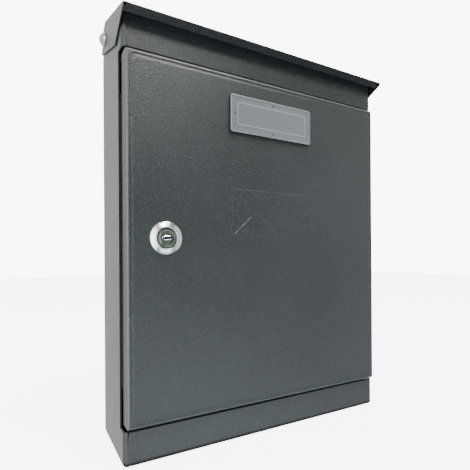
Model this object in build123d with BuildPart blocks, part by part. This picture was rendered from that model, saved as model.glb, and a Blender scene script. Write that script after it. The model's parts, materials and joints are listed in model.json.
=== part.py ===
from build123d import *
import math
import os

# Wall letterbox of folded sheet steel. Millimetres, +X to the right as seen from the front, +Y towards
# the wall, +Z up. The origin is the centre of the wall-screw pattern, on the back face.

os.makedirs("parts", exist_ok=True)

# Casing
sheet = 1.0
casing_width = 215.0
strip_front = -60.2          # face of the fixed strips above and below the door
jamb_front = -51.0           # front edge of the sides beside the door
casing_floor = -138.7
bend = 3.0                   # outer radius of the casing's upright folds
floor_bend = 2.2
strip_top = -116.7
flange_back = -47.0          # rear edge of the strips' inward flanges
fascia_bottom = 119.2
jamb_width = 8.5
jamb_reach = (-92.0, 93.0)   # lowest and highest point of each jamb fold

# Door
door_width = 212.0
door_front = -63.0
door_back = -53.4
door_bottom = -115.0
door_top = 117.5
panel_margin = 3.0           # flat rim round the raised inner panel
panel_raise = 0.5

# Lid: its side outline as (Y, Z) points
lid_tip = (-70.5, 139.6)
lid_bend = (-13.7, 158.2)
lid_chamfer = (-7.0, 154.9)
lid_heel = (-1.6, 141.2)
ear_front = (-70.0, 137.6)   # below the tip the ear's front edge is short and steep
ear_corner = (-46.6, 125.6)
ear_rear = (-0.6, 140.3)
ear_gap = 0.4                # between ear and casing side
lid_sheet = 0.7
pivot = (-12.3, 146.3)
lip_length = 5.4
lip_turn = math.radians(-34) # the lip's slope, backwards and down

# Pins and rivets
pivot_radius = 2.0
running_gap = 0.06
hinge_x = 102.0
hinge_y = -56.9
hinge_radius = 1.5

# Lock
lock_x = -81.0
lock_z = 2.2
bezel_radius = 10.65
plug_radius = 6.5
barrel_radius = 8.2
barrel_end = -47.0

# Name window
window_size = (70.0, 26.0)
window_z = 90.0
window_depth = 2.4

# Wall screws
wall_spacing = (150.0, 200.0)
wall_hole_radius = 2.75

half = casing_width / 2
door_half = door_width / 2
panel_face = door_front - panel_raise
lid_slope = (lid_bend[1] - lid_tip[1]) / (lid_bend[0] - lid_tip[0])
ear_outer = half + ear_gap + lid_sheet


def lid_top(y):
    """Height of the lid's upper face above the point y."""
    return lid_tip[1] + lid_slope * (y - lid_tip[0])


def under_lid(y, gap):
    """Height that keeps a vertical gap below the lid's sheet at y."""
    return lid_top(y) - lid_sheet * math.hypot(1, lid_slope) - gap


def write(part, name):
    part.label = name
    export_step(part, f"parts/{name}.step")


# ---- casing ----

side_gap = 0.7               # between the lid's sheet and the side's upper edge
arc_radius = 8.3             # round the pivot, inside the sweep of the lid's back
arc_start = 100.0
arc_stop = -30.0


def round_pivot(radius, degrees):
    turn = math.radians(degrees)
    return (pivot[0] + radius * math.cos(turn), pivot[1] + radius * math.sin(turn))


crown_y = pivot[0] - 3.2     # where the sloping edge meets the arc
heel_height = 138.0          # the side's rear edge is cut back above this
face_top = under_lid(strip_front, 0.9)
inner_width = casing_width - 2 * sheet
inner_front = strip_front + sheet

# the space inside the casing's folds: the lower strip with the floor, and the upper strip
with BuildPart() as inner_space:
    for bottom, top in ((casing_floor + sheet, strip_top), (fascia_bottom, 2 * fascia_bottom)):
        with BuildSketch(Plane.XY.offset(bottom)):
            with Locations((0, (inner_front + 1) / 2)):
                Rectangle(inner_width, 1 - inner_front)
        extrude(amount=top - bottom)
    fillet(inner_space.edges().filter_by(Axis.Z).group_by(Axis.Y)[0], bend - sheet)
    floor_edges = inner_space.edges().group_by(Axis.Z)[0]
    fillet(floor_edges.filter_by(lambda edge: edge.center().Y < 0.9), floor_bend - sheet)
    with Locations((0, (jamb_front - sheet + 1) / 2, 0)):
        Box(inner_width, 1 + sheet - jamb_front, 2 * fascia_bottom)

with BuildPart() as casing_body:
    with BuildSketch(Plane.YZ.offset(-half)):
        with BuildLine():
            Polyline(
                round_pivot(arc_radius, arc_stop),
                (0, heel_height),
                (0, casing_floor),
                (strip_front, casing_floor),
                (strip_front, strip_top),
                (jamb_front, strip_top),
                (jamb_front, fascia_bottom),
                (strip_front, fascia_bottom),
                (strip_front, face_top),
                (crown_y, under_lid(crown_y, side_gap)),
                round_pivot(arc_radius, arc_start),
            )
            CenterArc(pivot, arc_radius, arc_start, arc_stop - arc_start)
        make_face()
    extrude(amount=casing_width)
    front_folds = casing_body.edges().filter_by(Axis.Z).group_by(Axis.Y)[0]
    fillet(front_folds, bend)
    floor_face = casing_body.faces().filter_by(Axis.Z).sort_by(Axis.Z)[0]
    fillet(floor_face.edges().filter_by(lambda edge: edge.center().Y < -1), floor_bend)
    add(inner_space.part, mode=Mode.SUBTRACT)
    # inward flange along the top of the lower strip
    flange_half = half - bend - 0.4
    with Locations((0, (strip_front + flange_back) / 2, strip_top - sheet / 2)):
        Box(2 * flange_half, flange_back - strip_front, sheet)
    strip_edges = casing_body.edges().filter_by(Axis.X).filter_by(
        lambda edge: abs(edge.center().Y - strip_front) < 0.01 and abs(edge.center().Z) < 121
    )
    fillet(strip_edges, 0.8)
    # jambs, folded inwards beside the door
    jamb_height = jamb_reach[1] - jamb_reach[0]
    jamb_middle = (jamb_reach[0] + jamb_reach[1]) / 2
    for side in (-1, 1):
        with Locations((side * (half - jamb_width / 2), jamb_front + sheet / 2, jamb_middle)):
            Box(jamb_width, sheet, jamb_height)
    # relief notches where the floor fold and the strip's flange meet the corner folds
    for side in (-1, 1):
        with Locations((side * (half - 4.4), strip_front, casing_floor)):
            Box(0.6, 7, 4.4, mode=Mode.SUBTRACT)
        with Locations((side * (half - bend), strip_front, strip_top)):
            Box(0.5, 7, 6, mode=Mode.SUBTRACT)
    with Locations(Plane.YZ):
        with Locations(pivot):
            Cylinder(pivot_radius, casing_width + 2, mode=Mode.SUBTRACT)
    with Locations((hinge_x, hinge_y, strip_top)):
        Cylinder(hinge_radius, 4, mode=Mode.SUBTRACT)
write(casing_body.part, "casing_body")

back_top = 141.8
tray_depth = 10.0
with BuildPart() as back_panel:
    inner_half = half - sheet
    back_height = back_top - casing_floor - sheet
    back_middle = (back_top + casing_floor + sheet) / 2
    with Locations((0, -sheet / 2, back_middle)):
        Box(2 * inner_half, sheet, back_height)
    for side in (-1, 1):
        with Locations((side * (inner_half - sheet / 2), -tray_depth / 2, -4)):
            Box(sheet, tray_depth, 256)
    with BuildSketch(Plane.XZ):
        with GridLocations(*wall_spacing, 2, 2):
            Circle(wall_hole_radius)
    extrude(amount=2 * sheet, both=True, mode=Mode.SUBTRACT)
write(back_panel.part, "back_panel")

collar_radius = 2.2          # of the hinge pins' collars and riveted heads

# channel behind the upper strip: it carries the upper hinge pin and edges the posting slot
rim_gap = 1.1                # below the lid's sheet
with BuildPart() as slot_rim:
    rim_half = half - bend - 0.2
    web_back = inner_front + sheet
    with BuildSketch(Plane.YZ.offset(-rim_half)):
        with BuildLine():
            Polyline(
                (inner_front, fascia_bottom),
                (flange_back, fascia_bottom),
                (flange_back, fascia_bottom + sheet),
                (web_back, fascia_bottom + sheet),
                (web_back, under_lid(web_back, rim_gap) - sheet),
                (flange_back, under_lid(flange_back, rim_gap) - sheet),
                (flange_back, under_lid(flange_back, rim_gap)),
                (inner_front, under_lid(inner_front, rim_gap)),
                close=True,
            )
        make_face()
    extrude(amount=2 * rim_half)
    with Locations((hinge_x, hinge_y, fascia_bottom)):
        Cylinder(hinge_radius, 4, mode=Mode.SUBTRACT)
    # clearance in the web for the pin's riveted head
    with Locations((hinge_x, hinge_y, fascia_bottom + 2 * sheet)):
        Cylinder(collar_radius + 0.1, 2 * sheet, mode=Mode.SUBTRACT)
write(slot_rim.part, "slot_rim")

# shouldered pins: shank through the flange, collar in the gap, tip in the door's return
collar_gap = 0.35
with BuildPart() as door_hinge_pins:
    for flange_face, door_face, head_face in (
        (fascia_bottom, door_top, fascia_bottom + sheet),
        (strip_top, door_bottom, strip_top - sheet),
    ):
        inward = 1 if door_face > flange_face else -1
        with BuildSketch(Plane.XZ.offset(-hinge_y)):
            with BuildLine():
                collar_face = door_face - inward * collar_gap
                tip_face = door_face + inward * 3.6
                rivet_face = head_face - inward * 1.2
                Polyline(
                    (hinge_x, rivet_face),
                    (hinge_x + collar_radius, rivet_face),
                    (hinge_x + collar_radius, head_face),
                    (hinge_x + hinge_radius, head_face),
                    (hinge_x + hinge_radius, flange_face),
                    (hinge_x + collar_radius, flange_face),
                    (hinge_x + collar_radius, collar_face),
                    (hinge_x + hinge_radius, collar_face),
                    (hinge_x + hinge_radius, tip_face - inward * 0.5),
                    (hinge_x + hinge_radius - 0.5, tip_face),
                    (hinge_x, tip_face),
                    close=True,
                )
            make_face()
        revolve(axis=Axis((hinge_x, hinge_y, 0), (0, 0, 1)))
write(door_hinge_pins.part, "door_hinge_pins")

# ---- lid ----

heel_half = half - sheet - 0.6
lip_end = (
    lid_tip[0] + lip_length * math.cos(lip_turn),
    lid_tip[1] + lip_length * math.sin(lip_turn),
)


def inward_point(previous, corner, following, thickness):
    """The corner of the inner outline of a folded sheet, on the right of its direction of travel."""
    before = (Vector(*corner) - Vector(*previous)).normalized()
    after = (Vector(*following) - Vector(*corner)).normalized()
    normal_before = Vector(before.Y, -before.X)
    normal_after = Vector(after.Y, -after.X)
    mean = (normal_before + normal_after).normalized()
    return Vector(*corner) + mean * (thickness / mean.dot(normal_after))


lid_path = [lip_end, lid_tip, lid_bend, lid_chamfer, lid_heel]
with BuildPart() as lid:
    with BuildSketch(Plane.YZ.offset(-ear_outer)):
        with BuildLine():
            inner_corners = [
                inward_point(*lid_path[index:index + 3], lid_sheet) for index in range(3)
            ]
            start_way = (Vector(*lid_tip) - Vector(*lip_end)).normalized()
            end_way = (Vector(*lid_heel) - Vector(*lid_chamfer)).normalized()
            first = Vector(*lip_end) + Vector(start_way.Y, -start_way.X) * lid_sheet
            last = Vector(*lid_heel) + Vector(end_way.Y, -end_way.X) * lid_sheet
            outline = [Vector(*point) for point in lid_path] + [last] + inner_corners[::-1] + [first]
            Polyline(*[(point.X, point.Y) for point in outline], close=True)
        make_face()
    extrude(amount=2 * ear_outer)
    # lip and rear flange end short of the ears
    lip_half = half - 1.0
    for side in (-1, 1):
        with BuildSketch(Plane.YZ.offset(side * ear_outer)):
            with BuildLine():
                trim = inner_corners[0]
                Polyline(
                    (lid_tip[0] - 1, trim.Y - 0.05),
                    (trim.X + 0.4, trim.Y - 0.05),
                    (lip_end[0] + 2, lip_end[1] - 2),
                    (lid_tip[0] - 1, lip_end[1] - 2),
                    close=True,
                )
            make_face()
        extrude(amount=-side * (ear_outer - lip_half), mode=Mode.SUBTRACT)
        with BuildSketch(Plane.YZ.offset(side * ear_outer)):
            with BuildLine():
                Polyline(
                    (lid_chamfer[0] - 3, lid_chamfer[1] - 1.6),
                    (lid_chamfer[0] + 2, lid_chamfer[1] - 1.6),
                    (lid_heel[0] + 1, lid_heel[1] - 1),
                    (lid_heel[0] - 4, lid_heel[1] - 1),
                    close=True,
                )
            make_face()
        extrude(amount=-side * (ear_outer - heel_half), mode=Mode.SUBTRACT)
    for side in (-1, 1):
        with BuildSketch(Plane.YZ.offset(side * ear_outer)):
            with BuildLine():
                Polyline(
                    lid_tip, lid_bend, lid_chamfer, ear_rear, ear_corner, ear_front, close=True
                )
            make_face()
            with Locations(pivot):
                Circle(pivot_radius + running_gap, mode=Mode.SUBTRACT)
        extrude(amount=-side * lid_sheet)
    top_folds = lid.edges().filter_by(Axis.X).filter_by(
        lambda edge: edge.length > 2 * lip_half - 1
        and any(
            math.dist((edge.center().Y, edge.center().Z), point) < 0.05
            for point in (lid_bend, lid_chamfer)
        )
    )
    fillet(top_folds, 1.2)
write(lid.part, "lid")

rivet_head_radius = 4.9
rivet_head_height = 3.4
head_gap = 0.3
washer_thickness = 0.25
tail_inside = 3.0


def pivot_turned(side, outline):
    """Revolves an outline of (distance inwards from the ear's outer face, radius) round the pivot."""
    face_x = side * (ear_outer + head_gap)
    with BuildSketch(Plane.XY.offset(pivot[1])) as profile:
        with BuildLine():
            Polyline(
                *[(face_x - side * depth, pivot[0] + radius) for depth, radius in outline], close=True
            )
        make_face()
    revolve(profile.sketch, axis=Axis((0, pivot[0], pivot[1]), (1, 0, 0)))


shank_end = head_gap + lid_sheet + ear_gap + sheet + tail_inside
with BuildPart() as lid_pivot_rivets:
    for side in (-1, 1):
        face_x = side * (ear_outer + head_gap)
        dome = (rivet_head_radius**2 + rivet_head_height**2) / (2 * rivet_head_height)
        with BuildSketch(Plane.XY.offset(pivot[1])):
            with BuildLine():
                Polyline(
                    (face_x, pivot[0] + rivet_head_radius),
                    (face_x, pivot[0] + pivot_radius),
                    (face_x - side * shank_end, pivot[0] + pivot_radius),
                    (face_x - side * shank_end, pivot[0]),
                    (face_x + side * rivet_head_height, pivot[0]),
                )
                RadiusArc(
                    (face_x + side * rivet_head_height, pivot[0]),
                    (face_x, pivot[0] + rivet_head_radius),
                    side * dome,
                )
            make_face()
        revolve(axis=Axis((0, pivot[0], pivot[1]), (1, 0, 0)))
write(lid_pivot_rivets.part, "lid_pivot_rivets")

spacer_start = head_gap + lid_sheet + ear_gap - washer_thickness
with BuildPart() as pivot_spacers:
    for side in (-1, 1):
        pivot_turned(
            side,
            [
                (spacer_start, pivot_radius),
                (spacer_start, 4.5),
                (spacer_start + washer_thickness, 4.5),
                (spacer_start + washer_thickness, pivot_radius),
            ],
        )
write(pivot_spacers.part, "pivot_spacers")

clip_start = head_gap + lid_sheet + ear_gap + sheet
with BuildPart() as pivot_lock_washers:
    for side in (-1, 1):
        pivot_turned(
            side,
            [
                (clip_start, 3.2),
                (clip_start, 4.6),
                (clip_start + 0.5, 4.6),
                (clip_start + 1.3, pivot_radius),
                (clip_start + 0.8, pivot_radius),
            ],
        )
write(pivot_lock_washers.part, "pivot_lock_washers")

# ---- door ----

panel_middle = (door_top + door_bottom) / 2
door_height = door_top - door_bottom
door_bend = 1.8
envelope_size = (71.5, 32.5)
envelope_x = 2.3
envelope_z = 21.5
flap_apex = (1.9, 10.8)
emboss = 0.45
groove_width = 1.1
groove_depth = 0.35
peg_places = ((-31.9, 0), (31.9, 0), (0, 10.3), (0, -10.3))
peg_radius = 1.1

with BuildPart() as door_panel:
    with Locations((0, (door_front + door_back) / 2, panel_middle)):
        Box(door_width, door_back - door_front, door_height)
    front_edges = door_panel.faces().sort_by(Axis.Y)[0].edges()
    fillet(front_edges, door_bend)
    # raised inner panel with a sloping step and round corners
    panel_plane = Plane((0, door_front, panel_middle), x_dir=(1, 0, 0), z_dir=(0, -1, 0))
    with BuildSketch(panel_plane):
        RectangleRounded(door_width - 2 * panel_margin, door_height - 2 * panel_margin, 4.5)
    extrude(amount=panel_raise, taper=60)
    # hollow back
    inner_plane = Plane((0, door_back, panel_middle), x_dir=(1, 0, 0), z_dir=(0, -1, 0))
    with BuildSketch(inner_plane):
        RectangleRounded(door_width - 2 * sheet, door_height - 2 * sheet, 0.6)
    extrude(amount=door_back - door_front - sheet, mode=Mode.SUBTRACT)
    floor_plane = Plane((0, door_front + sheet, panel_middle), x_dir=(1, 0, 0), z_dir=(0, -1, 0))
    with BuildSketch(floor_plane):
        RectangleRounded(door_width - 2 * panel_margin - 1, door_height - 2 * panel_margin - 1, 4)
    extrude(amount=panel_raise, mode=Mode.SUBTRACT)
    # envelope relief: a low plateau with fold lines pressed into it
    envelope_plane = Plane((envelope_x, panel_face, envelope_z), x_dir=(1, 0, 0), z_dir=(0, -1, 0))
    with BuildSketch(envelope_plane):
        Rectangle(*envelope_size)
    extrude(amount=emboss, taper=45)
    wide, tall = envelope_size[0] / 2, envelope_size[1] / 2
    apex = (flap_apex[0] - envelope_x, flap_apex[1] - envelope_z)
    flap_plane = Plane((envelope_x, panel_face - emboss, envelope_z), x_dir=(1, 0, 0), z_dir=(0, -1, 0))
    reach = 0.43                 # share of the way to the middle that the lower folds run
    for start, stop in (
        ((-wide, tall), apex),
        ((wide, tall), apex),
        ((-wide, -tall), (-wide + reach * wide, -tall + 2 * reach * tall)),
        ((wide, -tall), (wide - reach * wide, -tall + 2 * reach * tall)),
    ):
        with BuildSketch(flap_plane):
            with BuildLine():
                Line(start, stop)
            trace(line_width=groove_width)
        extrude(amount=-groove_depth, taper=50, mode=Mode.SUBTRACT)
    # holes for the lock barrel, the window's pegs and the hinge pins
    with BuildSketch(Plane((lock_x, door_front - 5, lock_z), x_dir=(1, 0, 0), z_dir=(0, -1, 0))):
        Circle(barrel_radius + 0.1)
    extrude(amount=-8, mode=Mode.SUBTRACT)
    with BuildSketch(Plane((0, door_front - 5, window_z), x_dir=(1, 0, 0), z_dir=(0, -1, 0))):
        with Locations(*peg_places):
            Circle(peg_radius + 0.1)
    extrude(amount=-8, mode=Mode.SUBTRACT)
    for height in (door_top, door_bottom):
        with Locations((hinge_x, hinge_y, height)):
            Cylinder(hinge_radius + running_gap, 4, mode=Mode.SUBTRACT)
write(door_panel.part, "door_panel")

# ---- name window ----

window_face = panel_face - window_depth
rim_width = 2.6
line_inset = (5.6, 4.6)
with BuildPart() as nameplate_window:
    window_plane = Plane((0, panel_face, window_z), x_dir=(1, 0, 0), z_dir=(0, -1, 0))
    with BuildSketch(window_plane):
        RectangleRounded(*window_size, 1.6)
    extrude(amount=window_depth)
    fillet(nameplate_window.faces().sort_by(Axis.Y)[0].edges(), 0.7)
    # hollow behind the cover
    with BuildSketch(window_plane):
        RectangleRounded(window_size[0] - 2 * line_inset[0], window_size[1] - 2 * line_inset[1], 0.8)
    extrude(amount=0.9, mode=Mode.SUBTRACT)
    # shallow face inside a raised rim
    with BuildSketch(Plane((0, window_face, window_z), x_dir=(1, 0, 0), z_dir=(0, -1, 0))):
        RectangleRounded(window_size[0] - 2 * rim_width, window_size[1] - 2 * rim_width, 1.0)
    extrude(amount=-0.4, taper=30, mode=Mode.SUBTRACT)
    # pegs through the door sheet
    with BuildSketch(window_plane):
        with Locations(*peg_places):
            Circle(peg_radius)
    extrude(amount=-3.4)
write(nameplate_window.part, "nameplate_window")

panel_inside = panel_face + sheet
with BuildPart() as nameplate_push_nuts:
    nut_plane = Plane((0, panel_inside, window_z), x_dir=(1, 0, 0), z_dir=(0, -1, 0))
    with BuildSketch(nut_plane):
        with Locations(*peg_places):
            Circle(2.8)
            Circle(peg_radius, mode=Mode.SUBTRACT)
    extrude(amount=-0.5)
write(nameplate_push_nuts.part, "nameplate_push_nuts")

# ---- lock ----


def lock_plane(y):
    """Sketch plane across the lock at y, facing the front."""
    return Plane((lock_x, y, lock_z), x_dir=(1, 0, 0), z_dir=(0, -1, 0))


lock_axis = Axis((lock_x, 0, lock_z), (0, 1, 0))
bore_radius = plug_radius + 0.06
head_face = panel_face - 1.2


def lock_outline(points):
    """Revolves an outline of (radius, y) about the lock's axis."""
    with BuildSketch(Plane.XY.offset(lock_z)) as profile:
        with BuildLine():
            Polyline(*[(lock_x + radius, y) for radius, y in points], close=True)
        make_face()
    revolve(profile.sketch, axis=lock_axis)


with BuildPart() as lock_housing:
    lock_outline([
        (bore_radius, head_face),
        (9.6, head_face),
        (9.6, panel_face),
        (barrel_radius, panel_face),
        (barrel_radius, barrel_end),
        (bore_radius, barrel_end),
    ])
write(lock_housing.part, "lock_housing")

with BuildPart() as lock_bezel:
    lock_outline([
        (bore_radius + 0.3, head_face),
        (9.6, head_face),
        (9.6, panel_face),
        (bezel_radius, panel_face),
        (bezel_radius, panel_face - 0.7),
        (bezel_radius - 0.35, panel_face - 1.0),
        (7.9, panel_face - 2.4),
        (7.4, panel_face - 2.5),
        (7.1, panel_face - 2.3),
        (bore_radius + 0.3, panel_face - 1.6),
    ])
write(lock_bezel.part, "lock_bezel")

plug_face = panel_face - 1.9
tail_end = -44.8
wafer_count = 5
wafer_pitch = 2.4
wafer_first = -61.0
wafer_size = (11.6, 5.0, 1.0)      # across, upright, along the plug
keyway = (6.6, 1.5)
with BuildPart() as lock_plug:
    lock_outline([
        (0, plug_face),
        (4.4, plug_face),
        (4.8, plug_face + 0.35),
        (5.5, plug_face + 0.35),
        (5.7, plug_face),
        (plug_radius - 0.3, plug_face),
        (plug_radius, plug_face + 0.3),
        (plug_radius, barrel_end),
        (0, barrel_end),
    ])
    # squared tail for the stop plate and the cam
    with BuildSketch(lock_plane(barrel_end)):
        Rectangle(6, 6)
    extrude(amount=barrel_end - tail_end)
    with BuildSketch(lock_plane(tail_end)):
        Circle(1.6)
    extrude(amount=5.5, mode=Mode.SUBTRACT)
    # slots for the wafers, with their spring pockets, and the keyway
    with BuildSketch(lock_plane(plug_face)):
        Rectangle(*keyway)
    extrude(amount=-14, mode=Mode.SUBTRACT)
    for index in range(wafer_count):
        with Locations((lock_x, wafer_first + index * wafer_pitch, lock_z)):
            Box(14, wafer_size[2] + 0.1, wafer_size[1] + 0.1, mode=Mode.SUBTRACT)
    with BuildSketch(lock_plane(plug_face)):
        Ellipse(3.9, 2.4)
    extrude(amount=-0.8, mode=Mode.SUBTRACT)
write(lock_plug.part, "lock_plug")

with BuildPart() as keyway_shutter:
    with BuildSketch(lock_plane(plug_face + 0.8)):
        Ellipse(3.9, 2.4)
    extrude(amount=1.4)
    fillet(keyway_shutter.faces().sort_by(Axis.Y)[0].edges(), 0.5)
    with BuildSketch(lock_plane(plug_face + 1)):
        SlotOverall(keyway[0] - 0.6, keyway[1] - 0.3, rotation=4)
    extrude(amount=3, mode=Mode.SUBTRACT)
write(keyway_shutter.part, "keyway_shutter")

with BuildPart() as lock_wafers:
    for index in range(wafer_count):
        front = wafer_first + index * wafer_pitch - wafer_size[2] / 2
        with BuildSketch(lock_plane(front)):
            Circle(plug_radius - 0.1)
            Rectangle(wafer_size[0] + 2, wafer_size[1], mode=Mode.INTERSECT)
            Rectangle(keyway[0] + 0.8, keyway[1] + 0.4, mode=Mode.SUBTRACT)
            with Locations((5.2, -1.6)):
                Rectangle(3.2, 1.2, mode=Mode.SUBTRACT)
        extrude(amount=-wafer_size[2])
write(lock_wafers.part, "lock_wafers")

with BuildPart() as wafer_springs:
    for index in range(wafer_count):
        middle = wafer_first + index * wafer_pitch
        with BuildSketch(Plane((lock_x + 3.7, middle, lock_z - 1.6), x_dir=(0, 1, 0), z_dir=(1, 0, 0))):
            Circle(0.45)
            Circle(0.25, mode=Mode.SUBTRACT)
        extrude(amount=2.1)
write(wafer_springs.part, "wafer_springs")

washer_back = panel_inside + 0.8
with BuildPart() as lock_tooth_washer:
    with BuildSketch(lock_plane(washer_back)):
        Circle(11.4)
        with PolarLocations(11.4, 16):
            Rectangle(1.6, 1.2, mode=Mode.SUBTRACT)
        Circle(barrel_radius, mode=Mode.SUBTRACT)
    extrude(amount=washer_back - panel_inside)
write(lock_tooth_washer.part, "lock_tooth_washer")

with BuildPart() as lock_nut:
    with BuildSketch(lock_plane(washer_back)):
        RegularPolygon(11.0, 6, major_radius=False)
        Circle(barrel_radius, mode=Mode.SUBTRACT)
    extrude(amount=-4.2)
    chamfer(lock_nut.faces().sort_by(Axis.Y)[-1].edges().filter_by(GeomType.LINE), 0.5)
write(lock_nut.part, "lock_nut")

stop_back = barrel_end + 0.9
with BuildPart() as lock_stop_plate:
    with BuildSketch(lock_plane(stop_back)):
        Circle(7.4)
        with Locations((0, -7.4)):
            Rectangle(3.4, 3.0)
        Rectangle(6, 6, mode=Mode.SUBTRACT)
    extrude(amount=0.8)
write(lock_stop_plate.part, "lock_stop_plate")

cam_thickness = 1.5
cam_step = 3.0
cam_reach = 24.0
cam_half = 5.0
with BuildPart() as lock_cam:
    hub_front = stop_back
    hub_back = hub_front + cam_thickness - 0.1
    # cranked arm hanging straight down, seen from the side
    with BuildSketch(Plane.YZ.offset(lock_x - cam_half)):
        with BuildLine():
            Polyline(
                (hub_front, lock_z + 7),
                (hub_front, lock_z - 9.5),
                (hub_front - cam_step, lock_z - 12.5),
                (hub_front - cam_step, lock_z - cam_reach),
                (hub_back - cam_step, lock_z - cam_reach),
                (hub_back - cam_step, lock_z - 12.2),
                (hub_back, lock_z - 9.2),
                (hub_back, lock_z + 7),
                close=True,
            )
        make_face()
    extrude(amount=2 * cam_half)
    with BuildSketch(lock_plane(hub_back)):
        Rectangle(6, 6)
    extrude(amount=2 * cam_thickness, mode=Mode.SUBTRACT)
    tip_edges = lock_cam.edges().filter_by(Axis.Y)
    fillet(tip_edges.group_by(Axis.Z)[0] + tip_edges.group_by(Axis.Z)[-1], 3)
write(lock_cam.part, "lock_cam")

with BuildPart() as cam_washer:
    with BuildSketch(lock_plane(hub_back + 0.8)):
        Circle(4.8)
        Circle(1.7, mode=Mode.SUBTRACT)
    extrude(amount=0.8)
write(cam_washer.part, "cam_washer")

with BuildPart() as cam_screw:
    screw_seat = hub_back + 0.8
    with BuildSketch(lock_plane(screw_seat)):
        Circle(3.6)
    extrude(amount=-2.4)
    fillet(cam_screw.faces().sort_by(Axis.Y)[-1].edges(), 1.0)
    with BuildSketch(lock_plane(screw_seat)):
        Circle(1.6)
    extrude(amount=4.5)
    with BuildSketch(lock_plane(screw_seat + 2.5)):
        Rectangle(4.2, 0.9)
        Rectangle(0.9, 4.2)
    extrude(amount=1.5, mode=Mode.SUBTRACT)
write(cam_screw.part, "cam_screw")
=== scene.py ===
import json
import math

import bmesh
import bpy
import numpy as np
from mathutils import Matrix, Vector


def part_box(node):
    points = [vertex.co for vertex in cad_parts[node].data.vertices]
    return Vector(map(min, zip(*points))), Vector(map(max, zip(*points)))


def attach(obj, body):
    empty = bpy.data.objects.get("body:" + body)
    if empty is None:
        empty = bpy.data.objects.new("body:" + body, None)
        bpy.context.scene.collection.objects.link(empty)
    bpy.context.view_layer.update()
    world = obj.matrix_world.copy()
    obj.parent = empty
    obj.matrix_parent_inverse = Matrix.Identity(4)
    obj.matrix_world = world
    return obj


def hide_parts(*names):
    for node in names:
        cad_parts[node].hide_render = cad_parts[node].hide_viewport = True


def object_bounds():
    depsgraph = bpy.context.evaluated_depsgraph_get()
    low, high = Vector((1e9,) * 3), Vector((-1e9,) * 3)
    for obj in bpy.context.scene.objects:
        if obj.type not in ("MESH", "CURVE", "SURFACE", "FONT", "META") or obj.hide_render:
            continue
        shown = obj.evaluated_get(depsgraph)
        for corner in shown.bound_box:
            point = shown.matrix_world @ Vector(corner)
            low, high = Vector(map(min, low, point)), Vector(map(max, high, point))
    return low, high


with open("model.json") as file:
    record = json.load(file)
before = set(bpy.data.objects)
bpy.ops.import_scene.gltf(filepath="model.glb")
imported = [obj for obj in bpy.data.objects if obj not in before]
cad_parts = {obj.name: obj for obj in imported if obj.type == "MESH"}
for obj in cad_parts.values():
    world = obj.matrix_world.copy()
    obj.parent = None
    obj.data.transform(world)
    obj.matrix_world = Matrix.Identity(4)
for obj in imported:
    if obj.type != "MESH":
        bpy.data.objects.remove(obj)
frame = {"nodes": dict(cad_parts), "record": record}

# Wall letterbox. X to the right, Y towards the wall, Z up, origin between the wall screws. Blender's
# lengths are metres; the settings' lengths are millimetres, and mm turns them.

cadLow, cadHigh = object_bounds()
mm = 0.001
nodes = frame["nodes"]
print("frame loaded:", len(nodes), "nodes")


class MapValue:
    # a socket of a shader tree; arithmetic on it adds Math nodes

    def __init__(self, tree, socket):
        self.tree = tree
        self.socket = socket

    def __add__(self, other):
        return maths("ADD", self, other)

    def __sub__(self, other):
        return maths("SUBTRACT", self, other)

    def __rsub__(self, other):
        return maths("SUBTRACT", other, self)

    def __mul__(self, other):
        return maths("MULTIPLY", self, other)

    def __abs__(self):
        return maths("ABSOLUTE", self)

    __radd__ = __add__
    __rmul__ = __mul__


def feed(tree, slot, value):
    if isinstance(value, MapValue):
        tree.links.new(value.socket, slot)
    else:
        slot.default_value = value


def maths(operation, *values):
    # one Math node, in the tree of the first value that is a socket
    tree = next(value.tree for value in values if isinstance(value, MapValue))
    node = tree.nodes.new("ShaderNodeMath")
    node.operation = operation
    for slot, value in zip(node.inputs, values):
        feed(tree, slot, value)
    return MapValue(tree, node.outputs[0])


def rearMiddle(name):
    # middle of the wall-side face of a node's box
    low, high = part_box(name)
    return ((low[0] + high[0]) / 2, high[1], (low[2] + high[2]) / 2)


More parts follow.
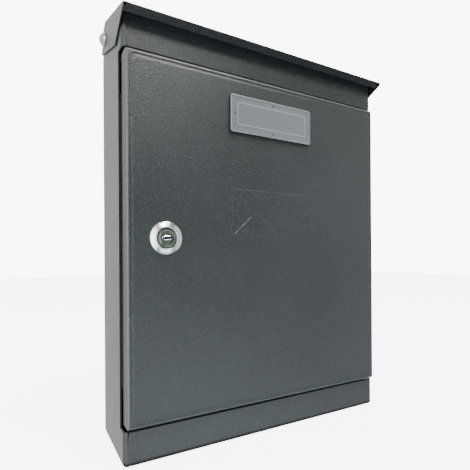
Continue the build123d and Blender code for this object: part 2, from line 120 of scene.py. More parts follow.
class Finish:
    # the shader tree of a material or a world, and the maps that feed it

    def __init__(self, owner):
        self.owner = owner
        owner.use_nodes = True
        self.tree = owner.node_tree
        self.tree.nodes.clear()
        self.place = self.add("ShaderNodeTexCoord", {}, {}, "Object")

    def add(self, kind, settings, sockets, output=0):
        node = self.tree.nodes.new(kind)
        for key, value in settings.items():
            setattr(node, key, value)
        for key, value in sockets.items():
            feed(self.tree, node.inputs[key], value)
        return MapValue(self.tree, node.outputs[output]) if node.outputs else None

    def grain(self, scale, detail=2.0, roughness=0.5, stretch=(1, 1, 1)):
        # noise around 0.5; scale is in cells per metre
        scaled = self.add("ShaderNodeMapping", {}, {"Vector": self.place, "Scale": stretch})
        return self.add(
            "ShaderNodeTexNoise",
            {},
            {"Vector": scaled, "Scale": scale, "Detail": detail, "Roughness": roughness},
        )

    def axis(self, vector, letter):
        return self.add("ShaderNodeSeparateXYZ", {}, {0: vector}, letter)

    def fromMiddle(self, name):
        # X and Z measured from the middle of a node's box
        x, _, z = rearMiddle(name)
        moved = self.add(
            "ShaderNodeMapping", {}, {"Vector": self.place, "Location": (-x, 0.0, -z)}
        )
        return self.axis(moved, "X"), self.axis(moved, "Z")

    def stepped(self, value, low, high):
        # 0 below low, 1 above high, straight between
        return self.add(
            "ShaderNodeMapRange",
            {"clamp": True},
            {"Value": value, "From Min": low, "From Max": high, "To Min": 0.0, "To Max": 1.0},
        )

    def faded(self, value, span):
        # stepped over a span in millimetres
        return self.stepped(value, span[0] * mm, span[1] * mm)

    def blend(self, factor, first, second):
        return self.add(
            "ShaderNodeMix", {"data_type": "RGBA"}, {0: factor, 6: first, 7: second}, 2
        )

    def away(self, across, upright):
        # distance from the origin: the root of the summed squares
        return maths("SQRT", across * across + upright * upright)

    def bump(self, height, strength, depth):
        return self.add(
            "ShaderNodeBump", {}, {"Height": height, "Strength": strength, "Distance": depth * mm}
        )

    def close(self, sockets):
        shader = self.add("ShaderNodeBsdfPrincipled", {}, sockets)
        self.add("ShaderNodeOutputMaterial", {}, {"Surface": shader})
        return self.owner


def newFinish(name):
    return Finish(bpy.data.materials.new(name))


def grey(level, tint=(1, 1, 1)):
    return (level * tint[0], level * tint[1], level * tint[2], 1)


coatLook = {
    "dark": (0.014, 0.018, 0.019, 1),
    "light": (0.036, 0.043, 0.045, 1),
    # speck: pale flecks, partly the coat's own fleck and partly painted sparkle
    "speck": (0.105, 0.118, 0.119, 1),
    "foot": (0.001, 0.001, 0.002, 1),    # painted shade along the lowest fold
    "paintedHighlight": (0.20, 0.212, 0.212, 1),     # painted highlight on the door's bends
    "grainScale": 1400.0,
    "peelScale": 850.0,
    "cloudScale": 12.0,
    "speckRange": (0.58, 0.68),
    "speckShare": 0.5,
    "toneRange": (0.36, 0.64),
    "footFade": (2.2, 3.4),              # above the bottom
    "footRough": 0.6,
    "roughness": 0.37,
    "bumpDepth": 0.40,
}


def powderCoat(name, paintedHighlight):
    # orange peel and a fine grain in the bump, pale specks and slow clouds in the colour; the specks
    # are partly the coat's own fleck and partly painted sparkle. With the second argument set, a
    # painted highlight along the door's bends comes from the mesh's own attribute; near the bottom the
    # colour turns near black, painted shade
    look = coatLook
    coat = newFinish(name)
    fine = coat.grain(look["grainScale"], 2.0, 0.6)
    peel = coat.grain(look["peelScale"], 2.0, 0.5)
    cloud = coat.grain(look["cloudScale"], 3.0, 0.5)
    # pale specks: partly the coat's own fleck, partly painted sparkle
    specks = coat.stepped(fine, *look["speckRange"])
    tone = coat.stepped(fine * 0.35 + peel * 0.35 + cloud * 0.3, *look["toneRange"])
    colour = coat.blend(tone, look["dark"], look["light"])
    colour = coat.blend(specks * look["speckShare"], colour, look["speck"])
    # painted shade: the colour turns near black towards the bottom of the casing
    foot = 1.0 - coat.faded(coat.axis(coat.place, "Z") - cadLow[2], look["footFade"])
    colour = coat.blend(foot, colour, look["foot"])
    if paintedHighlight:
        # painted highlight: a pale colour along the door's bends
        bends = coat.add("ShaderNodeAttribute", {"attribute_name": "bendHighlight"}, {}, "Fac")
        colour = coat.blend(bends * (0.55 + cloud * 0.5), colour, look["paintedHighlight"])
    rough = look["roughness"] + (fine - 0.5) * 0.5 + (cloud - 0.5) * 0.12 + foot * look["footRough"]
    normal = coat.bump(peel * 0.45 + fine * 0.55, 1.0, look["bumpDepth"])
    return coat.close({"Base Color": colour, "Roughness": rough, "Normal": normal, "IOR": 1.5})


platedLook = {
    "drawnOut": (1, 1, 0.08),            # the streaks run along Z
    "blotchScale": 90.0,
    "toneRange": (0.35, 0.65),
    "darker": 0.78,
    "lighter": 1.12,
    "roughSpread": 0.22,
    "bumpDepth": 0.08,
}


def platedSteel(name, level, tint, roughness, grainScale=300.0):
    # zinc or spring steel: rolled streaks, blotches and a fine grain
    look = platedLook
    plate = newFinish(name)
    streaks = plate.grain(grainScale, 4.0, 0.6, look["drawnOut"])
    blotches = plate.grain(look["blotchScale"], 3.0, 0.55)
    tone = plate.stepped(streaks * 0.5 + blotches * 0.5, *look["toneRange"])
    colour = plate.blend(tone, grey(level * look["darker"], tint), grey(level * look["lighter"], tint))
    rough = roughness + (blotches - 0.5) * look["roughSpread"]
    normal = plate.bump(streaks, 0.25, look["bumpDepth"])
    return plate.close({"Base Color": colour, "Roughness": rough, "Metallic": 1.0, "Normal": normal})


nylonLook = {
    "shaded": (0.50, 0.485, 0.44, 1),
    "clean": (0.66, 0.6468, 0.6006, 1),
    "cloudScale": 150.0,
    "roughness": 0.42,
    "roughSpread": 0.2,
    "bumpDepth": 0.1,
}


def mouldedNylon():
    # plain white nylon, slightly clouded
    look = nylonLook
    nylon = newFinish("naturalNylon")
    cloud = nylon.grain(look["cloudScale"], 3.0)
    colour = nylon.blend(cloud, look["shaded"], look["clean"])
    rough = look["roughness"] + (cloud - 0.5) * look["roughSpread"]
    normal = nylon.bump(cloud, 0.2, look["bumpDepth"])
    return nylon.close({"Base Color": colour, "Roughness": rough, "Normal": normal, "IOR": 1.53})


nickelLook = {
    "dull": (0.09, 0.115, 0.085, 1),
    "clean": (0.24, 0.275, 0.225, 1),
    "ring": (0.46, 0.48, 0.44, 1),
    "ringRadius": 5.1,
    "ringFade": (0.2, 0.35),             # from the ring's middle line
    "ringShare": 0.8,
    "cutScale": 5200.0,
    "blotchScale": 420.0,
    "roughness": 0.34,
    "roughSpread": 0.2,
    "bumpDepth": 0.06,
}


def turnedNickel():
    # a lathe-cut face: fine rings round the lock's axis, one pale ring, dull blotches
    look = nickelLook
    nickel = newFinish("turnedNickel")
    radius = nickel.away(*nickel.fromMiddle("lock_plug"))
    cuts = maths("SINE", radius * look["cutScale"]) * 0.5 + 0.5
    blotch = nickel.grain(look["blotchScale"], 3.0, 0.6)
    ring = 1.0 - nickel.faded(abs(radius - look["ringRadius"] * mm), look["ringFade"])
    colour = nickel.blend(nickel.stepped(blotch, 0.3, 0.7), look["dull"], look["clean"])
    colour = nickel.blend(ring * look["ringShare"], colour, look["ring"])
    rough = look["roughness"] + (blotch - 0.5) * look["roughSpread"]
    normal = nickel.bump(cuts * 0.6 + blotch * 0.4, 0.3, look["bumpDepth"])
    return nickel.close({"Base Color": colour, "Roughness": rough, "Metallic": 1.0, "Normal": normal})


coverFinish = {
    "field": (0.22, 0.245, 0.252, 1),
    "line": (0.50, 0.53, 0.53, 1),
    "wall": (0.03, 0.034, 0.036, 1),     # painted shade: the walls coloured dark against the door
    "studs": (31.9, 10.3),               # the push-in studs, seen through the plastic
    "fieldAlpha": 0.86,
    "lineAlpha": 0.95,
    "halfSize": (35.0, 13.0),
    "lineInset": 5.45,
    "wallFade": (0.35, 0.90),            # behind the outermost face
    "rimFade": (0.25, 0.85),             # in from the edge
    "ridgeFade": (0.10, 0.55),           # from the ridge's middle line
    "studFade": (0.45, 1.15),            # from a stud's axis
    "ridgeShare": 0.7,
    "studShare": 0.6,
    "roughness": 0.16,
    "bumpDepth": 0.2,
}


def clearCover():
    # see-through plastic: milky along its rim and the ridge round the field; its walls are painted
    # dark, painted shade against the door
    look = coverFinish
    plastic = newFinish("clearCover")
    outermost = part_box("nameplate_window")[0][1]
    across, upright = plastic.fromMiddle("nameplate_window")
    halfWide, halfTall = (value * mm for value in look["halfSize"])
    inset = maths("MINIMUM", halfWide - abs(across), halfTall - abs(upright))
    # painted shade: the walls behind the outermost face take the dark wall colour
    wall = plastic.faded(plastic.axis(plastic.place, "Y") - outermost, look["wallFade"])
    rim = (1.0 - plastic.faded(inset, look["rimFade"])) * (1.0 - wall)
    ridge = 1.0 - plastic.faded(abs(inset - look["lineInset"] * mm), look["ridgeFade"])
    side = plastic.away(abs(across) - look["studs"][0] * mm, upright)
    end = plastic.away(across, abs(upright) - look["studs"][1] * mm)
    stud = 1.0 - plastic.faded(maths("MINIMUM", side, end), look["studFade"])
    flow = plastic.grain(60.0, 3.0, 0.5, (0.4, 1, 1))
    lines = maths("MAXIMUM", rim, ridge * look["ridgeShare"]) * (0.70 + flow * 0.5)
    # the painted shade of the walls, and the studs seen through the plastic
    wallShadeAndStuds = maths("MAXIMUM", wall, stud * look["studShare"])
    colour = plastic.blend(lines, look["field"], look["line"])
    colour = plastic.blend(wallShadeAndStuds, colour, look["wall"])
    alpha = look["fieldAlpha"] + lines * (look["lineAlpha"] - look["fieldAlpha"])
    scratches = plastic.grain(900.0, 3.0, 0.6, (1, 1, 0.05))
    rough = look["roughness"] + plastic.stepped(scratches, 0.5, 0.8) * 0.2 + lines * 0.15
    normal = plastic.bump(flow, 0.15, look["bumpDepth"])
    return plastic.close(
        {"Base Color": colour, "Roughness": rough, "Alpha": alpha, "Normal": normal, "IOR": 1.49}
    )


shutterLook = {
    "halfWide": 3.9,
    "halfTall": 2.4,
    "rise": 1.35,
    "slot": (3.05, 0.70),
    "slotFloor": 0.35,
    "slotEdge": (0.0, 0.12),
    "tilt": 4.0,
    "squareness": 0.25,                  # 1 leaves the slot an ellipse
    "around": 64,
    "rings": 12,
    "roughness": 0.24,
}


def slottedShutter():
    # polished steel; the key slot's shallow floor is painted black, painted shade of the keyhole
    look = shutterLook
    steel = newFinish("brightShutter")
    across, upright = steel.fromMiddle("keyway_shutter")
    upright = upright - across * math.tan(math.radians(look["tilt"]))
    run, end = (value * mm for value in look["slot"])
    outside = maths("MAXIMUM", abs(across) - run, abs(upright) - end)
    rim = steel.faded(outside, look["slotEdge"])
    scratches = steel.grain(700.0, 4.0, 0.6)
    bright = steel.blend(scratches, grey(0.60), grey(0.90))
    # painted shade: near black, rough and not metallic inside the slot
    return steel.close(
        {
            "Base Color": steel.blend(rim, grey(0.004), bright),
            "Roughness": look["roughness"] + (1.0 - rim) * 0.6,
            "Metallic": rim,
        }
    )


finishes = {
    "powder_steel": powderCoat("powderCoat", False),
    "zinc_steel": platedSteel("zincPlate", 0.52, (1.0, 1.0, 0.97), 0.34),
    "spring_steel": platedSteel("springSteel", 0.30, (0.96, 1.0, 1.05), 0.38),
    "brass": platedSteel("stampedBrass", 0.62, (1.0, 0.78, 0.40), 0.30),
    "nylon": mouldedNylon(),
    "bright_rivet": platedSteel("brightRivet", 0.42, (1.0, 0.93, 0.78), 0.20, 500.0),
    "chrome": platedSteel("brightChrome", 0.74, (0.98, 1.0, 0.99), 0.25, 700.0),
    "lock_metal": turnedNickel(),
    "bright_shutter": slottedShutter(),
    "clear_plastic": clearCover(),
}
doorCoat = powderCoat("doorCoat", True)
slotOf = {part["node"]: part["material_slot"] for part in frame["record"]["subparts"]}
for name, node in nodes.items():
    node.data.materials.clear()
    node.data.materials.append(finishes[slotOf[name]])
print("finishes made:", len(finishes))


mergeDistance = 0.002 * mm


def gridFaces(rows, columns, around):
    # quads between neighbouring rows; around joins the last column to the first
    row, column = np.meshgrid(
        np.arange(rows - 1), np.arange(columns if around else columns - 1), indexing="ij"
    )
    after = (column + 1) % columns
    corners = (
        row * columns + column,
        row * columns + after,
        (row + 1) * columns + after,
        (row + 1) * columns + column,
    )
    return np.stack(corners, axis=-1).reshape(-1, 4)


def turned(profile, centre, direction, count=96):
    # profile of (radius, height) turned about the direction through the centre:
    # point = centre + height * direction + radius * (cos * across + sin * up)
    profile = np.array(profile) * mm
    forward = np.array(direction, float)
    across = np.cross(forward, (0.0, 0.0, 1.0))
    up = np.cross(across, forward)
    turn = np.linspace(0, 2 * np.pi, count, endpoint=False)
    circle = np.cos(turn)[:, None] * across + np.sin(turn)[:, None] * up
    points = (
        np.array(centre)
        + profile[:, 1, None, None] * forward
        + profile[:, 0, None, None] * circle
    )
    return points.reshape(-1, 3), gridFaces(len(profile), count, True)


def frameOutline(halfWide, halfTall, radius, across, upright, arcCount):
    # a rounded rectangle walked once round: quarter arcs about the four corner centres, with
    # straight sides divided by the shares in across and upright
    quarter = np.linspace(0, np.pi / 2, arcCount)
    wide, tall = halfWide - radius, halfTall - radius
    sides = []
    for index, (signX, signZ) in enumerate(((1, 1), (-1, 1), (-1, -1), (1, -1))):
        turn = quarter + index * np.pi / 2
        arc = np.stack((signX * wide + radius * np.cos(turn), signZ * tall + radius * np.sin(turn)), 1)
        sides.append(arc)
        if index % 2 == 0:
            run = across[::-1] if signX > 0 else across
            straight = np.stack((run * wide, np.full(len(run), signZ * halfTall)), 1)
        else:
            run = upright[::-1] if signX < 0 else upright
            straight = np.stack((np.full(len(run), signX * halfWide), run * tall), 1)
        sides.append(straight)
    return np.concatenate(sides)


def lofted(rings, middle, across, upright, arcCount=8):
    # rings of (half width, half height, corner radius, y): each is a rounded rectangle
    outlines = [
        frameOutline(wide, tall, radius, across, upright, arcCount)
        for wide, tall, radius, depth in rings
    ]
    count = len(outlines[0])
    depths = np.repeat([ring[3] for ring in rings], count)
    flat = np.concatenate(outlines)
    points = np.stack((flat[:, 0] + middle[0], depths, flat[:, 1] + middle[1]), 1) * mm
    return points, gridFaces(len(rings), count, True)


def makePiece(name, parts, slot, body, replaced, sharpness=35.0, coat=None):
    # joins the parts to one mesh, merges its seams and turns its faces outwards
    points = np.concatenate([part[0] for part in parts])
    starts = np.cumsum([0] + [len(part[0]) for part in parts[:-1]])
    faces = []
    for (_, quads), start in zip(parts, starts):
        faces += [[corner + int(start) for corner in quad] for quad in np.asarray(quads).tolist()]
    mesh = bpy.data.meshes.new(name)
    mesh.from_pydata(points.tolist(), [], faces)
    shape = bmesh.new()
    shape.from_mesh(mesh)
    bmesh.ops.remove_doubles(shape, verts=shape.verts, dist=mergeDistance)
    bmesh.ops.recalc_face_normals(shape, faces=shape.faces)
    shape.to_mesh(mesh)
    shape.free()
    mesh.shade_smooth()
    mesh.set_sharp_from_angle(angle=math.radians(sharpness))
    mesh.materials.append(coat or finishes[slot])
    piece = bpy.data.objects.new(name, mesh)
    bpy.context.scene.collection.objects.link(piece)
    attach(piece, body)
    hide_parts(replaced)
    print("piece made:", name, len(mesh.polygons), "faces")
    return piece


rivetLook = {
    "headRadius": 4.9,
    "headHeight": 3.4,
    "flatness": 2.4,
    "undercut": 0.3,
    "shankRadius": 2.0,
    "shankEnd": 100.6,                   # from the middle of the box
    "chamfer": 0.4,
    "domeSteps": 14,
}


def makeRivets():
    # head: height = headHeight * (1 - (radius / headRadius) ^ flatness), a flattened dome
    look = rivetLook
    low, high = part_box("lid_pivot_rivets")
    y, z = (low[1] + high[1]) / 2, (low[2] + high[2]) / 2
    out = np.linspace(0, 1, look["domeSteps"])
    dome = np.stack((out * look["headRadius"], look["headHeight"] * (1 - out ** look["flatness"])), 1)
    face = high[0] / mm - look["headHeight"]
    end = look["shankEnd"] - face
    tail = [
        (look["headRadius"] - look["undercut"], 0.0),
        (look["shankRadius"], 0.0),
        (look["shankRadius"], end + look["chamfer"]),
        (look["shankRadius"] - look["chamfer"], end),
        (0.0, end),
    ]
    profile = np.concatenate((dome, tail))
    parts = [turned(profile, (side * face * mm, y, z), (side, 0, 0)) for side in (-1, 1)]
    return makePiece("lidRivets", parts, "bright_rivet", "casing", "lid_pivot_rivets")


makeRivets()


bezelLook = {
    "lip": 7.6,
    "mouth": 6.8,
    "rise": 2.5,
    "lipRoll": 0.45,
    "innerWall": (1.5, 1.2),             # heights of the wall inside the mouth
    "seat": 9.6,                         # radius of the hollow for the barrel's flange
    "edge": ((10.65, 0.0), (10.65, 0.55), (10.53, 0.85), (10.20, 1.05)),   # (radius, height)
}


def makeBezel():
    # a ring turned about the lock's axis: flat foot, straight cone, rolled lip, short inner wall
    look = bezelLook
    roll = np.linspace(0, np.pi, 9)
    middle, size = (look["lip"] + look["mouth"]) / 2, (look["lip"] - look["mouth"]) / 2
    height = look["rise"] - look["lipRoll"] + look["lipRoll"] * np.sin(roll)
    lip = np.stack((middle + size * np.cos(roll), height), 1)
    top, bottom = look["innerWall"]
    foot = [(look["mouth"], top), (look["mouth"], bottom), (look["seat"], bottom), (look["seat"], 0.0)]
    profile = np.concatenate((foot, look["edge"], lip, foot[:1]))
    parts = [turned(profile, rearMiddle("lock_bezel"), (0, -1, 0), 128)]
    return makePiece("lockBezel", parts, "chrome", "door", "lock_bezel", 40.0)


makeBezel()


def makeShutter():
    # an oval dome whose outline passes from an ellipse at the rim to the slot's stadium at the top:
    # point = (1 - share) * ellipse + share * stadium, height = rise * sin(share * 90 degrees)
    look = shutterLook
    centre = rearMiddle("keyway_shutter")
    turn = np.linspace(0, 2 * np.pi, look["around"], endpoint=False)
    oval = np.stack((look["halfWide"] * np.cos(turn), look["halfTall"] * np.sin(turn)), 1)
    run, end = look["slot"]
    along = np.sign(np.cos(turn)) * np.abs(np.cos(turn)) ** look["squareness"]
    stadium = np.stack((run * along, end * np.sin(turn)), 1)
    lean = math.radians(look["tilt"])
    spin = np.array(((math.cos(lean), math.sin(lean)), (-math.sin(lean), math.cos(lean))))
    stadium = stadium @ spin
    share = np.linspace(0, 1, look["rings"])
    rings = (1 - share)[:, None, None] * oval + share[:, None, None] * stadium
    rings = np.concatenate((oval[None] * 0, rings, stadium[None], stadium[None] * 0))
    floor = look["slotFloor"]
    heights = np.concatenate(((0.0,), look["rise"] * np.sin(share * np.pi / 2), (floor, floor)))
    points = np.stack(
        (
            centre[0] + rings[..., 0] * mm,
            centre[1] - heights[:, None] * mm * np.ones(look["around"]),
            centre[2] + rings[..., 1] * mm,
        ),
        -1,
    ).reshape(-1, 3)
    faces = gridFaces(len(rings), look["around"], True)
    return makePiece("keyShutter", [(points, faces)], "bright_shutter", "lock", "keyway_shutter", 50.0)


makeShutter()


coverLook = {
    "size": (70.0, 26.0),
    "corner": 1.6,
    "leastCorner": 0.25,
    "thick": 2.4,
    "lineInset": 5.6,
    "hub": 0.30,                         # half height of the innermost outline, front and back
    "pegs": ((-31.9, 0), (31.9, 0), (0, 10.3), (0, -10.3)),
    "peg": ((0.0, 0.0), (1.1, 0.0), (1.1, 3.1), (0.8, 3.4), (0.0, 3.4)),   # (radius, height)
}


def makeCover():
    # rounded rectangles stacked from the foot, over the rim and its groove, to the middle field
    look = coverLook
    centre = rearMiddle("nameplate_window")
    middle = (centre[0] / mm, centre[2] / mm)
    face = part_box("nameplate_window")[0][1] / mm
    foot = face + look["thick"]
    wide, tall = look["size"][0] / 2, look["size"][1] / 2
    line = look["lineInset"]
    steps = [                            # (inset, depth behind the rim)
        (0.00, look["thick"]),
        (0.00, 0.75),
        (0.06, 0.42),
        (0.24, 0.16),
        (0.50, 0.03),
        (0.75, 0.00),
        (1.15, 0.02),
        (1.35, 0.12),
        (1.50, 0.16),
        (line - 0.60, 0.16),
        (line - 0.30, 0.10),
        (line, 0.04),
        (line + 0.25, 0.14),
        (line + 0.40, 0.20),
        (line + 0.55, 0.22),
        (line + 0.80, 0.22),
        (tall - look["hub"], 0.22),
    ]
    rings = [
        (wide - inset, tall - inset, max(look["corner"] - inset, look["leastCorner"]), face + depth)
        for inset, depth in steps
    ]
    rings.insert(0, (wide - tall + look["hub"], look["hub"], look["leastCorner"], foot))
    across = np.linspace(-1, 1, 25)[1:-1]
    upright = np.linspace(-1, 1, 9)[1:-1]
    points, faces = lofted(rings, middle, across, upright)
    count = len(points) // len(rings)
    cap = [list(range(count))]
    parts = [(points, faces), (points[:count], cap), (points[-count:], cap)]
    for x, z in look["pegs"]:
        root = ((middle[0] + x) * mm, foot * mm, (middle[1] + z) * mm)
        parts.append(turned(look["peg"], root, (0, 1, 0), 24))
    return makePiece("nameCover", parts, "clear_plastic", "door", "nameplate_window", 28.0)


makeCover()


doorLook = {
    "bend": 1.8,
    "bendSteps": 9,
    "corner": 1.2,
    "cornerGrowth": 0.2,                 # of the corner radius, per inset over the bend
    "return": 1.0,                       # straight part behind the bend's end
    "rim": 3.0,
    "rimCorner": 4.0,
    "behind": 0.10,                      # the rim's face behind the panel's
    "groove": 0.17,
    "grooveWide": 3.0,
    "grooveLean": 0.6,                   # below 1 the deepest line lies nearer the rim
    "grooveBefore": 0.75,                # the groove starts this far outside the rim's edge
    "grooveCorner": 0.4,
    "grooveSteps": 13,
    "panelRings": ((-0.6, 0.8), (0.0, 1.0)),   # (inset past the groove, off the rim's corner)
    "gridInset": 6.5,                    # the grid starts this far inside the rim
    "gridX": (-40.5, -40.0, 45.0, 45.0), # coarse to the first, fine between the middle two
    "gridZ": (3.5, 4.0, 40.0, 40.2),
    "coarseX": (12, 12),
    "coarseZ": (20, 16),
    "fineStep": 0.42,
    "sheet": 1.0,
    "envelope": (71.5, 32.5),
    "envelopeAt": (2.3, 21.5),
    "envelopeEdge": (-0.5, 0.6),
    "flap": (1.9, 10.8),                 # where the flap's two folds meet
    "cadEmboss": 0.45,                   # the envelope's height in the CAD part
    "emboss": 0.26,
    "foldDepth": {-1: 0.46, 1: 0.16},    # left and right
    "flapDepth": {-1: 0.30, 1: 0.10},
    "foldHalf": 0.8,
    "foldReach": 0.43,                   # of the lower folds, as a share of the envelope
    # where the painted highlight lies on the door's bends
    "highlightBend": (0.35, 1.15),            # as shares of the bend
    "highlightDepth": 1.1,
}


def lineDistance(x, z, start, stop):
    # distance from every grid point to the segment from start to stop
    way = np.subtract(stop, start)
    along = ((x - start[0]) * way[0] + (z - start[1]) * way[1]) / np.dot(way, way)
    along = np.clip(along, 0, 1)
    return np.hypot(x - start[0] - along * way[0], z - start[1] - along * way[1])


def softStep(value, low, high):
    share = np.clip((value - low) / (high - low), 0, 1)
    return share * share * (3 - 2 * share)


def gradedRow(low, high, stops, step, counts):
    # a fine stretch, step apart, between two evenly divided coarse ones
    return np.concatenate(
        (
            np.linspace(low, stops[0], counts[0]),
            np.arange(stops[1], stops[2], step),
            np.linspace(stops[3], high, counts[1]),
        )
    )


def envelopeHeight(x, z):
    # a low plateau with soft edges, less the folds pressed into it; zero outside
    look = doorLook
    wide, tall = look["envelope"][0] / 2, look["envelope"][1] / 2
    middleX, middleZ = look["envelopeAt"]
    inside = np.minimum(wide - np.abs(x - middleX), tall - np.abs(z - middleZ))
    height = look["emboss"] * softStep(inside, *look["envelopeEdge"])
    reach = look["foldReach"]
    for side in (-1, 1):
        edge = middleX + side * wide
        low, high = (edge, middleZ - tall), (edge, middleZ + tall)
        stop = (edge - side * reach * wide, low[1] + 2 * reach * tall)
        for start, finish, depth in (
            (high, look["flap"], look["flapDepth"][side]),
            (low, stop, look["foldDepth"][side]),
        ):
            fold = 1 - softStep(lineDistance(x, z, start, finish), 0.0, look["foldHalf"])
            height = height - depth * fold * softStep(inside, 0.0, look["foldHalf"])
    return height


def makeDoor():
    # rounded-rectangle rings from the return's rear edge over the bend and the step, then a grid whose
    # height is envelopeHeight; the sheet's thickness is a Solidify
    look = doorLook
    low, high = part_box("door_panel")
    left, right, bottom, top = low[0] / mm, high[0] / mm, low[2] / mm, high[2] / mm
    wide, tall = (right - left) / 2, (top - bottom) / 2
    middle = ((left + right) / 2, (top + bottom) / 2)
    panel = low[1] / mm + look["cadEmboss"]
    front, back = panel + look["behind"], high[1] / mm
    bend = look["bend"]
    rings = [(wide, tall, look["corner"], back), (wide, tall, look["corner"], back - look["return"])]
    for turn in np.linspace(0, np.pi / 2, look["bendSteps"]):
        inset = bend * (1 - np.cos(turn))
        radius = look["corner"] + inset * look["cornerGrowth"]
        rings.append((wide - inset, tall - inset, radius, front + bend * (1 - np.sin(turn))))
    for share in np.linspace(0, 1, look["grooveSteps"]):
        inset = look["rim"] - look["grooveBefore"] + look["grooveWide"] * share
        rise = (front - panel) * softStep(share, 0, 1)
        dip = look["groove"] * math.sin(share ** look["grooveLean"] * math.pi) ** 2
        radius = look["rimCorner"] + look["grooveCorner"] - share
        rings.append((wide - inset, tall - inset, radius, front - rise + dip))
    for further, less in look["panelRings"]:
        inset = look["rim"] + look["grooveWide"] + further
        rings.append((wide - inset, tall - inset, look["rimCorner"] - less, panel))
    inner = (wide - look["rim"] - look["gridInset"], tall - look["rim"] - look["gridInset"])
    rings.append((inner[0] + 0.5, inner[1] + 0.5, 0.5, panel))
    rings.append((*inner, 0.0, panel))
    gridX = gradedRow(-inner[0], inner[0], look["gridX"], look["fineStep"], look["coarseX"])
    lowZ, highZ = middle[1] - inner[1], middle[1] + inner[1]
    gridZ = gradedRow(lowZ, highZ, look["gridZ"], look["fineStep"], look["coarseZ"])
    shareX, shareZ = gridX[1:-1] / inner[0], (gridZ[1:-1] - middle[1]) / inner[1]
    x, z = np.meshgrid(gridX, gridZ)
    y = panel - envelopeHeight(x, z)
    face = np.stack((x + middle[0], y, z), -1).reshape(-1, 3) * mm
    parts = [
        lofted(rings, middle, shareX, shareZ),
        (face, gridFaces(len(gridZ), len(gridX), False)),
    ]
    piece = makePiece("doorSheet", parts, "powder_steel", "door", "door_panel", 40.0, doorCoat)
    # painted highlight along the bends: strongest halfway round the bend, gone where the rim turns
    # flat
    spots = np.empty(len(piece.data.vertices) * 3)
    piece.data.vertices.foreach_get("co", spots)
    spots = spots.reshape(-1, 3) / mm
    inset = np.minimum(wide - np.abs(spots[:, 0] - middle[0]), tall - np.abs(spots[:, 2] - middle[1]))
    ahead = front + look["highlightDepth"] * bend - spots[:, 1]
    start, stop = (share * bend for share in look["highlightBend"])
    bendHighlight = (1 - softStep(inset, start, stop)) * softStep(ahead, 0, bend)
    piece.data.attributes.new("bendHighlight", "FLOAT", "POINT").data.foreach_set("value", bendHighlight)
    wall = piece.modifiers.new("sheetThickness", "SOLIDIFY")
    wall.thickness = look["sheet"] * mm
    wall.offset = -1.0
    return piece


makeDoor()
print("pieces made")


studio = {
    "floorHalf": 3.0,                    # metres
    "floorGap": 0.2,
    "floorLevel": 0.85,
    "floorRough": 0.7,
    "floorGlow": 6.0,
    "bright": (1.60, 1.63, 1.65, 1),     # air behind the box and on its left
    "dim": (0.035, 0.038, 0.046, 1),     # air in front and on the right
    "seen": (9.0, 9.0, 9.0, 1),          # the backdrop itself
    "towards": (-0.55, 0.835, 0.0),      # where the air is brightest
    "dimUntil": -0.40,
    "brightFrom": 0.25,
}


def makeFloor():
    half = studio["floorHalf"]
    z = cadLow[2] - studio["floorGap"] * mm
    mesh = bpy.data.meshes.new("floor")
    mesh.from_pydata(
        [(-half, -half, z), (half, -half, z), (half, half, z), (-half, half, z)], [], [(0, 1, 2, 3)]
    )
    floor = bpy.data.objects.new("floor", mesh)
    bpy.context.scene.collection.objects.link(floor)
    paint = newFinish("paleFloor")
    level = studio["floorLevel"]
    sockets = {
        "Base Color": paint.blend(paint.grain(30.0, 3.0), grey(level), grey(level * 0.97)),
        "Roughness": studio["floorRough"],
        "Emission Color": grey(1.0),
        "Emission Strength": studio["floorGlow"],
    }
    mesh.materials.append(paint.close(sockets))
    floor.visible_diffuse = False        # seen, but throws no light up at the box
    floor.visible_glossy = False
    floor.visible_shadow = False         # lets the low lamp through


makeFloor()


def makeAir():
    # from dim to bright by the dot product of the direction and "towards"
    world = bpy.data.worlds.new("studioAir")
    bpy.context.scene.world = world
    air = Finish(world)
    way = air.add("ShaderNodeTexCoord", {}, {}, "Generated")
    lean = air.add(
        "ShaderNodeVectorMath", {"operation": "DOT_PRODUCT"}, {0: way, 1: studio["towards"]}, "Value"
    )
    share = air.add(
        "ShaderNodeMapRange",
        {"interpolation_type": "SMOOTHSTEP"},
        {"Value": lean, "From Min": studio["dimUntil"], "From Max": studio["brightFrom"]},
    )
    glow = air.blend(share, studio["dim"], studio["bright"])
    onCamera = air.add("ShaderNodeLightPath", {}, {}, "Is Camera Ray")
    backdrop = air.add(
        "ShaderNodeBackground", {}, {"Color": air.blend(onCamera, glow, studio["seen"])}
    )
    air.add("ShaderNodeOutputWorld", {}, {"Surface": backdrop})


makeAir()
print("stage made")


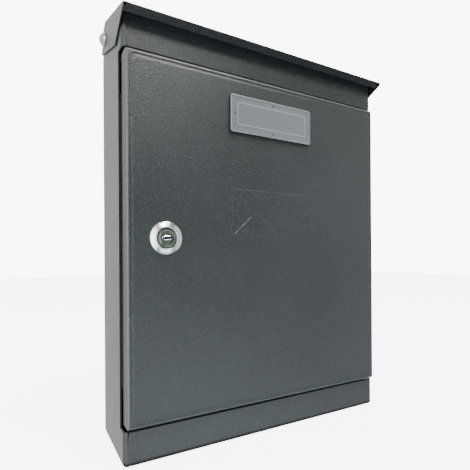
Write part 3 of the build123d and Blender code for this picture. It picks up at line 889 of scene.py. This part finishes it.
lamps = {                                # metres and watts
    "cornerLamp": {
        "at": (0.10, -0.95, 0.95),
        "size": (0.28, 0.28),
        "power": 9.0,
        "colour": (1, 1, 1),
        "glossOnly": False,
    },
    "topLamp": {
        "at": (0.30, -0.54, 1.20),
        "size": (0.35, 0.35),
        "power": 15.5,
        "colour": (1, 0.99, 0.97),
        "glossOnly": False,
    },
    "rightLamp": {
        "at": (1.35, -1.00, 0.10),
        "size": (1.6, 2.2),
        "power": 12.5,
        "colour": (0.96, 1, 0.97),
        "glossOnly": True,
    },
    "fillLamp": {
        "at": (0.30, -1.20, -0.70),
        "size": (0.9, 0.7),
        "power": 9.5,
        "colour": (0.84, 0.92, 1),
        "glossOnly": False,
    },
    "edgeLamp": {
        "at": (-0.75, -0.85, 0.0),
        "size": (0.8, 1.6),
        "power": 22.0,
        "colour": (1, 1, 1),
        "glossOnly": True,
    },
}


def makeLamps():
    # every lamp looks at the origin; a glossOnly lamp shows in reflections but lights no surface
    for name, lamp in lamps.items():
        light = bpy.data.lights.new(name, "AREA")
        light.energy = lamp["power"]
        light.shape = "RECTANGLE"
        light.size, light.size_y = lamp["size"]
        light.color = lamp["colour"]
        holder = bpy.data.objects.new(name, light)
        holder.location = lamp["at"]
        holder.rotation_euler = (-Vector(lamp["at"])).to_track_quat("-Z", "Y").to_euler()
        holder.visible_diffuse = not lamp["glossOnly"]
        bpy.context.scene.collection.objects.link(holder)


makeLamps()
print("lamps made:", len(lamps))


view = {                                 # metres and radians, the lens in millimetres
    "at": (-0.15943, -0.29484, -0.01205),
    "yaw": 0.50858,
    "pitch": 0.00075,
    "roll": -0.00603,
    "lens": 29.08,
    "sensor": 36.0,
    "shift": (-0.0022, 0.0531),
    "nearest": 0.01,
}


def makeCamera():
    # yaw turns from straight ahead towards the right, roll about the line of sight
    camera = bpy.data.cameras.new("studioCamera")
    camera.lens = view["lens"]
    camera.sensor_width = view["sensor"]
    camera.shift_x, camera.shift_y = view["shift"]
    camera.clip_start = view["nearest"]
    yaw, pitch, roll = view["yaw"], view["pitch"], view["roll"]
    ahead = Vector(
        (math.sin(yaw) * math.cos(pitch), math.cos(yaw) * math.cos(pitch), math.sin(pitch))
    )
    right = Vector((math.cos(yaw), -math.sin(yaw), 0))
    up = right.cross(ahead)
    tiltedRight = right * math.cos(roll) + up * math.sin(roll)
    tiltedUp = up * math.cos(roll) - right * math.sin(roll)
    turn = Matrix((tiltedRight, tiltedUp, -ahead)).transposed()
    holder = bpy.data.objects.new("studioCamera", camera)
    holder.matrix_world = Matrix.Translation(Vector(view["at"])) @ turn.to_4x4()
    bpy.context.scene.collection.objects.link(holder)
    bpy.context.scene.camera = holder


makeCamera()
